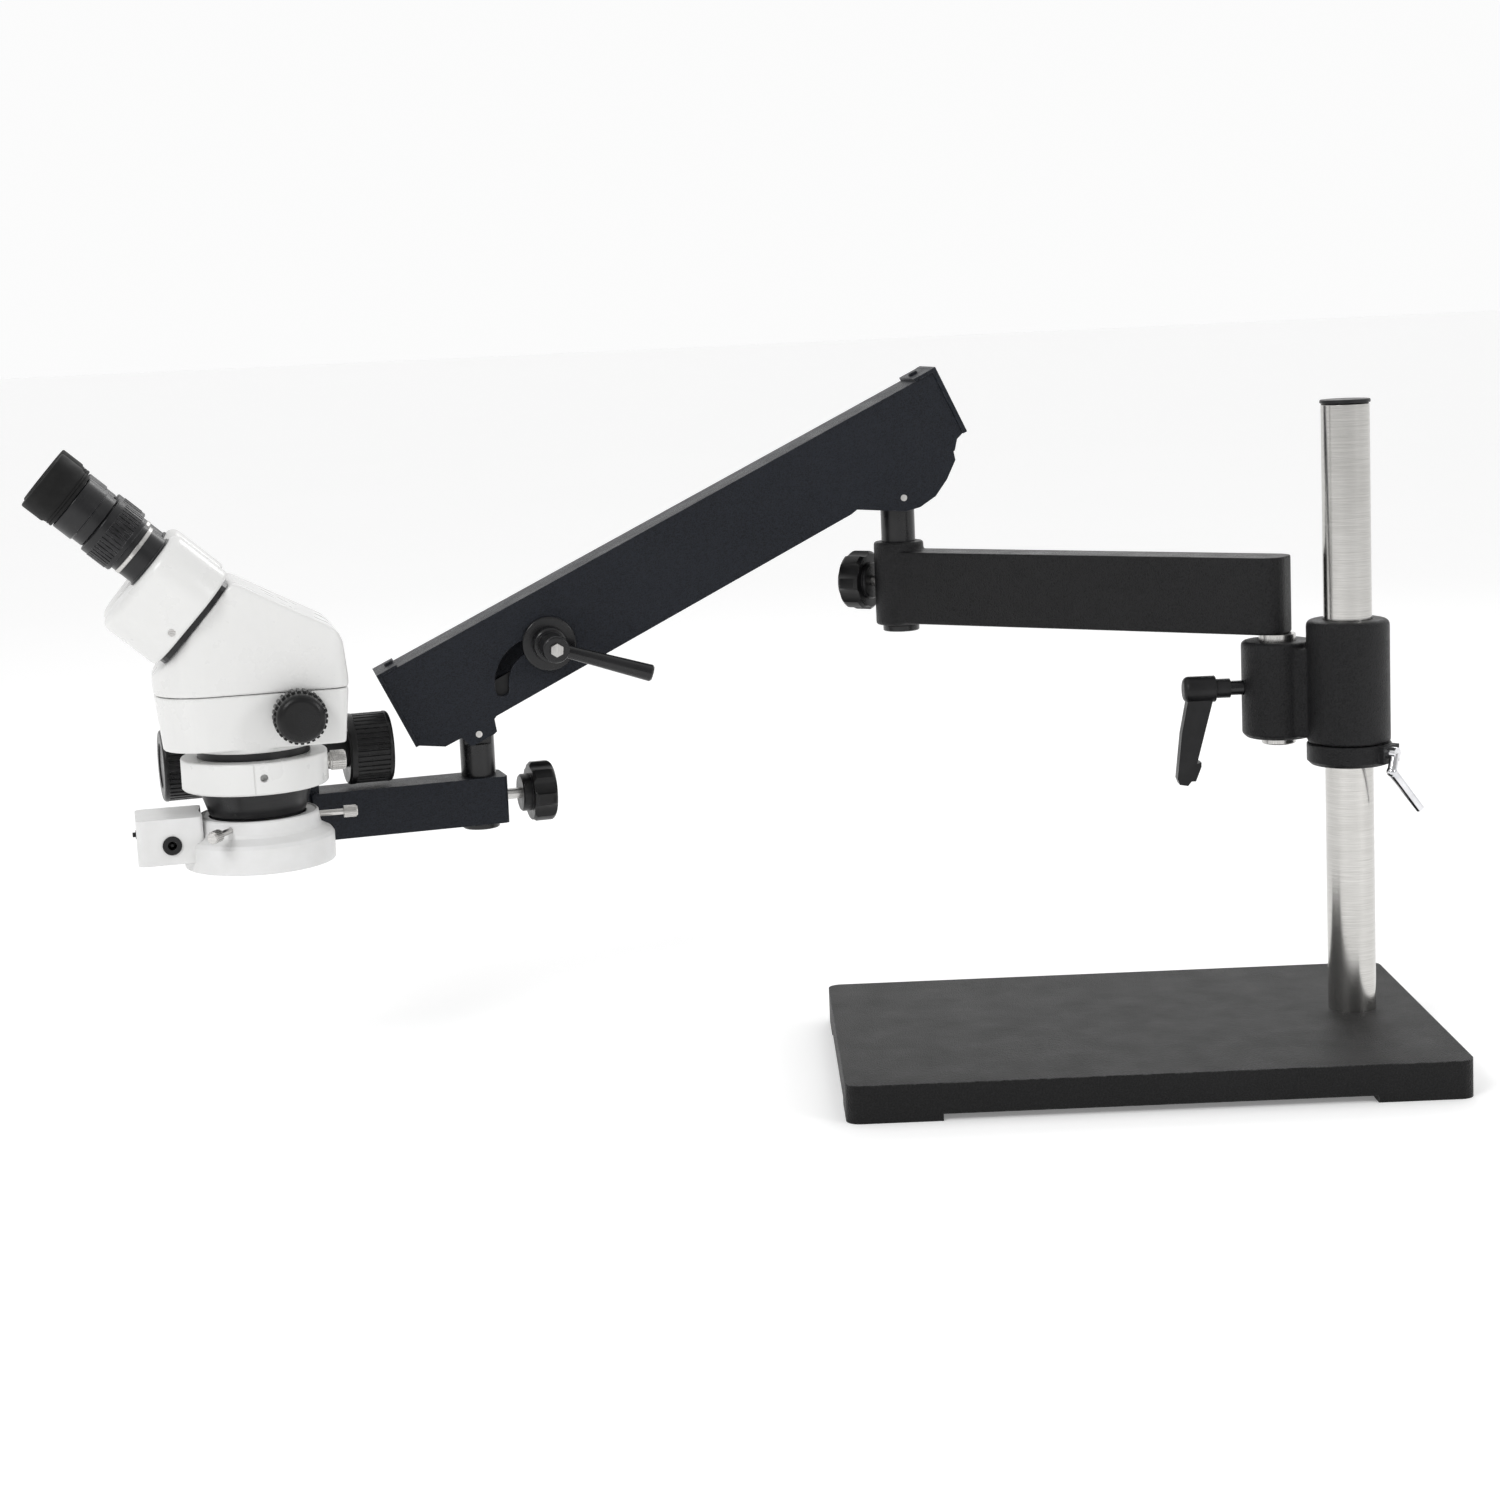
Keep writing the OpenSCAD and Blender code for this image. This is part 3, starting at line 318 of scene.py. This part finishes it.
BLACK_WRINKLE = wrinkle_paint("black_wrinkle_paint", (0.004, 0.004, 0.0045), (0.013, 0.013, 0.014))
BLUE_WRINKLE = wrinkle_paint("blue_black_wrinkle_paint", (0.004, 0.005, 0.008), (0.012, 0.015, 0.022))
BASE_COAT = powder_coat("base_powder_coat", (0.004, 0.004, 0.004), (0.011, 0.011, 0.0115))
WHITE_ENAMEL = enamel("white_enamel", (0.74, 0.74, 0.73), (0.66, 0.655, 0.64))
WHITE_PLASTIC = moulded("white_plastic", (0.75, 0.75, 0.75), (0.69, 0.69, 0.68), (0.3, 0.44), 600.0)
BLACK_PLASTIC = moulded("black_plastic", (0.004, 0.004, 0.0045), (0.011, 0.011, 0.012))
KNOB_PLASTIC = moulded("knob_plastic", (0.004, 0.004, 0.004), (0.009, 0.009, 0.010), (0.24, 0.38))
GLOSS_BLACK = gloss_paint("gloss_black_paint")
TUBE_BLACK = anodised("tube_black_anodise", TUBE_AXIS)
CELL_BLACK = anodised("cell_black_anodise", UPRIGHT)
POST_STEEL = turned_metal("ground_post_steel", UPRIGHT, (0.66, 0.65, 0.63), (0.46, 0.45, 0.43), (0.13, 0.25))
PIN_STEEL = turned_metal("pin_steel", ZOOM_AXIS, (0.66, 0.65, 0.63), (0.42, 0.41, 0.40), (0.22, 0.4))
SHAFT_STEEL = turned_metal("shaft_steel", KNOB_AXIS, (0.68, 0.67, 0.65), (0.46, 0.45, 0.44))
SCREW_STEEL = turned_metal("screw_steel", UPRIGHT, (0.72, 0.71, 0.69), (0.48, 0.47, 0.46), (0.2, 0.36))
SPRING_STEEL = turned_metal("spring_steel", TUBE_AXIS, (0.30, 0.30, 0.31), (0.16, 0.16, 0.17), (0.3, 0.5))
RACK_BRASS = turned_metal("rack_brass", UPRIGHT, (0.72, 0.55, 0.28), (0.5, 0.36, 0.16), (0.25, 0.42))
CHROME = chrome("lever_chrome")
RUBBER = rubber("eyecup_rubber")
GLASS = coated_glass("coated_glass")
FROSTED = frosted("frosted_diffuser")

FINISH = {
    BASE_COAT: ["base_plate"],
    POST_STEEL: ["post"],
    SCREW_STEEL: [
        "post_bolt", "left_ring_screw", "right_ring_screw", "rear_ring_screw", "elbow_stud", "bar_stud",
    ],
    BLACK_PLASTIC: ["parallel_link", "post_cap", "dc_jack", "light_switch", "clamp_lever"],
    BLACK_WRINKLE: ["safety_collar", "pivot_block", "horizontal_arm"],
    CHROME: ["collar_lever"],
    GLOSS_BLACK: ["clamp_stud", "upper_post", "lower_post", "lock_washer", "lock_handle", "prism_seat"],
    SHAFT_STEEL: ["arm_pivot_shaft", "pinion_shaft", "head_lock_screw", "spring_rod"],
    KNOB_PLASTIC: ["elbow_knob", "bar_knob", "focus_knobs", "zoom_knobs"],
    BLUE_WRINKLE: ["arm_housing", "end_plates", "focus_bar"],
    PIN_STEEL: ["housing_pins", "link_pin", "lock_bolt", "zoom_shaft"],
    SPRING_STEEL: ["balance_spring"],
    RACK_BRASS: ["focus_rack"],
    WHITE_ENAMEL: [
        "ring_holder", "lower_body", "upper_body", "right_prism_housing", "left_prism_housing",
    ],
    CELL_BLACK: ["objective_cell", "zoom_carriage"],
    TUBE_BLACK: [s + p for s in ("right_", "left_") for p in ("eyetube", "diopter_ring", "eyepiece")],
    RUBBER: ["right_eyecup", "left_eyecup"],
    GLASS: ["objective_lens", "right_eye_lens", "left_eye_lens"],
    WHITE_PLASTIC: ["ring_light"],
    FROSTED: ["ring_diffuser"],
}
for material, names in FINISH.items():
    for name in names:
        mesh = frame["nodes"][name].data
        mesh.materials.clear()
        mesh.materials.append(material)


# ---------------------------------------------------------------- rounded castings
def soften(name, voxel_mm, passes):
    """Rounds a cast node's edges: a fine voxel skin, relaxed a few times."""
    node = frame["nodes"][name]
    skin = node.modifiers.new("skin", "REMESH")
    skin.mode = "VOXEL"
    skin.voxel_size = voxel_mm * MM
    skin.use_smooth_shade = True
    relax = node.modifiers.new("relax", "SMOOTH")
    relax.factor = 0.6
    relax.iterations = passes


soften("upper_body", 0.9, 14)
soften("lower_body", 0.9, 5)
soften("horizontal_arm", 1.0, 6)
soften("pivot_block", 0.9, 4)


# ---------------------------------------------------------------- new pieces
def finish_mesh(bm, name, material, body, smooth_angle=35.0):
    bmesh.ops.recalc_face_normals(bm, faces=bm.faces)
    mesh = bpy.data.meshes.new(name)
    bm.to_mesh(mesh)
    bm.free()
    mesh.polygons.foreach_set("use_smooth", [True] * len(mesh.polygons))
    mesh.set_sharp_from_angle(angle=math.radians(smooth_angle))
    mesh.materials.append(material)
    piece = bpy.data.objects.new(name, mesh)
    bpy.context.scene.collection.objects.link(piece)
    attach(piece, body)
    return piece


def axis_frame(origin, axis):
    """Matrix from local mm, +Z along the axis, to the frame in metres."""
    turn = UPRIGHT.rotation_difference(axis).to_matrix().to_4x4()
    return Matrix.Translation(origin) @ turn @ Matrix.Scale(MM, 4)


def lathe(profile, place, steps=96):
    """Solid of revolution from (radius, height) points in mm."""
    bm = bmesh.new()
    rings = []
    for k in range(steps):
        a = 2 * math.pi * k / steps
        points = [Vector((r * math.cos(a), r * math.sin(a), z)) for r, z in profile]
        rings.append([bm.verts.new(place @ point) for point in points])
    for k in range(steps):
        here, there = rings[k], rings[(k + 1) % steps]
        for i in range(len(profile)):
            j = (i + 1) % len(profile)
            bm.faces.new((here[i], there[i], there[j], here[j]))
    return bm


def arc(cx, cz, r, start, end, n):
    """Points on an arc round (cx, cz), between two angles in degrees."""
    return [
        (cx + r * math.cos(math.radians(start + (end - start) * i / n)),
         cz + r * math.sin(math.radians(start + (end - start) * i / n)))
        for i in range(n + 1)
    ]


def stadium(a, b, radius, across, along, steps):
    """Outline round two axis points a and b, in the plane of across and along."""
    d = b - a
    heading = math.atan2(d.dot(along), d.dot(across))
    ring = []
    for base, start in ((b, heading - math.pi / 2), (a, heading + math.pi / 2)):
        for i in range(steps + 1):
            t = start + math.pi * i / steps
            ring.append(base + radius * MM * (math.cos(t) * across + math.sin(t) * along))
    return ring


# Prism housings, in mm: end radius, ends along the tube axis, shoulder radius
PRISM_R = 25.5
PRISM_LOW, PRISM_HIGH = 4.5, 48.5
SHOULDER = 6.0
# (height above the lower end, how far in) of the eased lower edge
PRISM_EASE = [(0.0, 1.6), (0.5, 0.7), (1.4, 0.15), (2.6, 0.0)]
# Screw on each housing's outer wall: its radius, and its height along the tube axis
SCREW_R = 2.6
SCREW_HEIGHT = 11


def prism_shell(side, spacing, turn):
    """Cast prism housing: a stadium whose lower edge is eased and whose shoulder is rounded."""
    a, b = Vector(joint(spacing)["pos_m"]), Vector(joint(turn)["pos_m"])
    a += TUBE_AXIS * (b - a).dot(TUBE_AXIS)
    layers = [(PRISM_LOW + z, inset) for z, inset in PRISM_EASE]
    layers += [
        (PRISM_HIGH - SHOULDER + z, SHOULDER - r)
        for r, z in arc(0, 0, SHOULDER, 0, 90, 8)
    ]
    bm = bmesh.new()
    rings = []
    for height, inset in layers:
        outline = stadium(a, b, PRISM_R - inset, ACROSS, UP_TUBE, 20)
        rings.append([bm.verts.new(p + TUBE_AXIS * height * MM) for p in outline])
    count = len(rings[0])
    for low, high in zip(rings, rings[1:]):
        for i in range(count):
            j = (i + 1) % count
            bm.faces.new((low[i], low[j], high[j], high[i]))
    bm.faces.new(rings[0])
    bm.faces.new(rings[-1])
    node = side + "_prism_housing"
    shell = finish_mesh(bm, side + "_prism_shell", WHITE_ENAMEL, side + "_prism", 50.0)
    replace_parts(shell, node)
    return a


def slotted_screw(name, point, axis, radius, body, material):
    """Cheese-head screw: two half discs either side of the slot, on a thin full disc."""
    place = axis_frame(point, axis)
    slot_half, rise, taper = radius * 0.14, radius * 0.3, 0.94
    bore, sunk, shown, seat = 0.05, -1.5, 0.15, 0.1
    bm = lathe([(bore, sunk), (radius, sunk), (radius, shown), (bore, shown)], place, 40)
    for flip in (1, -1):
        start = math.degrees(math.asin(slot_half / radius))
        rim = arc(0, 0, radius, start, 180 - start, 16)
        lower = [bm.verts.new(place @ Vector((x, flip * y, seat))) for x, y in rim]
        top = [Vector((x * taper, flip * y * taper, seat + rise)) for x, y in rim]
        upper = [bm.verts.new(place @ point) for point in top]
        for i in range(len(rim)):
            j = (i + 1) % len(rim)
            bm.faces.new((lower[i], lower[j], upper[j], upper[i]))
        bm.faces.new(upper)
        bm.faces.new(lower)
    return finish_mesh(bm, name, material, body, 30.0)


# Eyecup profile: (radius, height along the tube) in mm, from its foot up the outside and down inside
SKIRT_R = 20.4
GROOVE_R = 19.95
GROOVES = (115.2, 117.0)
CUP_R = 21.45
CUP_FOOT = [(16.6, 112.9), (19.6, 112.9)] + arc(19.6, 113.7, 0.8, -90, 0, 4)
CUP_STEP = [(SKIRT_R, 118.4), (20.7, 119.0), (21.35, 119.8), (CUP_R, 121.0)]
CUP_LIP = [(CUP_R, 132.5)] + arc(20.2, 134.7, 1.25, 10, 90, 5) + arc(19.3, 135.0, 0.95, 90, 190, 5)
CUP_INSIDE = [(17.2, 132.6), (14.2, 128.4), (13.2, 126.8), (13.1, 124.2), (16.5, 124.0)]


def eyecup(side, turn):
    """Rubber cup with a grooved, stepped skirt and a soft rolled lip."""
    place = axis_frame(Vector(turn["pos_m"]), TUBE_AXIS)
    grooves = []
    for z in GROOVES:
        grooves += [(SKIRT_R, z - 0.35), (GROOVE_R, z - 0.1), (GROOVE_R, z + 0.1), (SKIRT_R, z + 0.35)]
    bm = lathe(CUP_FOOT + grooves + CUP_STEP + CUP_LIP + CUP_INSIDE, place)
    node = side + "_eyecup"
    cup = finish_mesh(bm, side + "_rubber_cup", RUBBER, side + "_ocular")
    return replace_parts(cup, node)


# Band on the eyetube: (radius, height along the tube) in mm
BAND = [(17.6, 60.4), (18.2, 60.4), (18.45, 60.7), (18.45, 62.9), (18.2, 63.2), (17.6, 63.2)]


def bright_ring(side, turn):
    """Polished band on the eyetube, just below the diopter ring."""
    place = axis_frame(Vector(turn["pos_m"]), TUBE_AXIS)
    return finish_mesh(lathe(BAND, place), side + "_bright_ring", PIN_STEEL, side + "_prism")


for side, spacing, turn, out in (
    ("right", "right_eye_spacing", "right_diopter_turn", 1),
    ("left", "left_eye_spacing", "left_diopter_turn", -1),
):
    swing_axis = prism_shell(side, spacing, turn)
    eyecup(side, joint(turn))
    bright_ring(side, joint(turn))
    wall = swing_axis + ACROSS * out * PRISM_R * MM + TUBE_AXIS * SCREW_HEIGHT * MM
    slotted_screw(side + "_prism_screw", wall, ACROSS * out, SCREW_R, side + "_prism", SCREW_STEEL)


# Lamp domes under the diffuser, in mm
LAMPS = 40
LAMP_RING = 41.5
DOME_R = 2.0
DOME_RIM = 2.1
DOME_TOP = 0.5
DOME_EDGE = 0.05
DOME_FLATTEN = 0.22
DOME_DROP = 0.42


def lamp_ring():
    """Moulded lamp domes standing just proud of the diffuser's face."""
    low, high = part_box("ring_diffuser")
    middle = (low + high) / 2
    below = [(DOME_RIM, DOME_EDGE)] + arc(0, DOME_EDGE, DOME_R, 0, -80, 5)
    dome = [(0.02, DOME_TOP), (DOME_RIM, DOME_TOP)]
    dome += [(r, max(z * DOME_FLATTEN, -DOME_DROP)) for r, z in below]
    bm = bmesh.new()
    for k in range(LAMPS):
        a = 2 * math.pi * k / LAMPS
        out_x, out_y = LAMP_RING * MM * math.cos(a), LAMP_RING * MM * math.sin(a)
        spot = Vector((middle.x + out_x, middle.y + out_y, low.z))
        cup = lathe(dome, Matrix.Translation(spot) @ Matrix.Scale(MM, 4), 20)
        lump = bpy.data.meshes.new("lump")
        cup.to_mesh(lump)
        cup.free()
        bm.from_mesh(lump)
        bpy.data.meshes.remove(lump)
    finish_mesh(bm, "lamp_domes", FROSTED, "head")


lamp_ring()


# ---------------------------------------------------------------- studio
AIM = (0.0, 0.0, 0.25)
# Name, place, width in metres, watts
LIGHTS = [
    ("key", (-1.3, -1.9, 1.9), 1.0, 24.0),
    ("fill", (1.8, -1.4, 1.0), 0.6, 9.0),
    ("rim", (0.6, 1.8, 1.6), 0.8, 5.0),
]
# World brightness along Y: from, to, strength at the first, strength at the second
SKY_RAMP = (-0.75, 0.35, 0.42, 0.97)
FLOOR_SIZE = 30.0
FLOOR_GLOW = 0.2


def area_light(name, place, target, size, power):
    data = bpy.data.lights.new(name, "AREA")
    data.shape = "DISK"
    data.size = size
    data.energy = power
    lamp = bpy.data.objects.new(name, data)
    bpy.context.scene.collection.objects.link(lamp)
    lamp.location = place
    lamp.rotation_euler = (Vector(target) - Vector(place)).to_track_quat("-Z", "Y").to_euler()


def studio():
    world = bpy.data.worlds.new("studio")
    world.use_nodes = True
    nodes, links = world.node_tree.nodes, world.node_tree.links
    sky = nodes["Background"]
    sky.inputs["Color"].default_value = (1.0, 1.0, 1.0, 1.0)
    # Dimmer behind the camera, so that dark paint stays dark
    split = nodes.new("ShaderNodeSeparateXYZ")
    links.new(nodes.new("ShaderNodeTexCoord").outputs["Generated"], split.inputs[0])
    ramp = nodes.new("ShaderNodeMapRange")
    ramp.interpolation_type = "SMOOTHSTEP"
    for socket, number in zip(list(ramp.inputs)[1:5], SKY_RAMP):
        socket.default_value = number
    links.new(split.outputs["Y"], ramp.inputs[0])
    links.new(ramp.outputs[0], sky.inputs["Strength"])
    bpy.context.scene.world = world
    bpy.context.scene.view_settings.view_transform = "Standard"
    for name, place, size, power in LIGHTS:
        area_light(name, place, AIM, size, power)
    bm = bmesh.new()
    bmesh.ops.create_grid(bm, x_segments=4, y_segments=4, size=FLOOR_SIZE)
    mesh = bpy.data.meshes.new("floor")
    bm.to_mesh(mesh)
    bm.free()
    paint = Shade("floor_paint", 0.1)
    paint.colour(paint.blend(paint.noise(1.2, 2.0), (0.95, 0.95, 0.95), (0.93, 0.93, 0.93)))
    paint.put(Roughness=0.7, Emission_Color=(1.0, 1.0, 1.0, 1.0), Emission_Strength=FLOOR_GLOW)
    mesh.materials.append(paint.done())
    floor = bpy.data.objects.new("floor", mesh)
    bpy.context.scene.collection.objects.link(floor)


# Camera fitted to the base, the post and the arm: radians, millimetres, fractions of the width, metres
YAW, PITCH, ROLL = -0.013, 0.139, -0.046
LENS = 64.57
SENSOR = 36.0
SHIFT = (0.0357, -0.0473)
CAMERA_PLACE = (0.004084, -1.841513, 0.522354)


def camera():
    """The photograph's viewing angle."""
    ahead = Vector((math.sin(YAW) * math.cos(PITCH), math.cos(YAW) * math.cos(PITCH), -math.sin(PITCH)))
    level = Vector((math.cos(YAW), -math.sin(YAW), 0.0))
    over = level.cross(ahead)
    right = math.cos(ROLL) * level + math.sin(ROLL) * over
    top = math.cos(ROLL) * over - math.sin(ROLL) * level
    data = bpy.data.cameras.new("camera")
    data.sensor_fit = "HORIZONTAL"
    data.sensor_width = SENSOR
    data.lens = LENS
    data.shift_x, data.shift_y = SHIFT
    view = bpy.data.objects.new("camera", data)
    bpy.context.scene.collection.objects.link(view)
    turn = Matrix((right, top, -ahead)).transposed().to_4x4()
    view.matrix_world = Matrix.Translation(CAMERA_PLACE) @ turn
    bpy.context.scene.camera = view


studio()
camera()
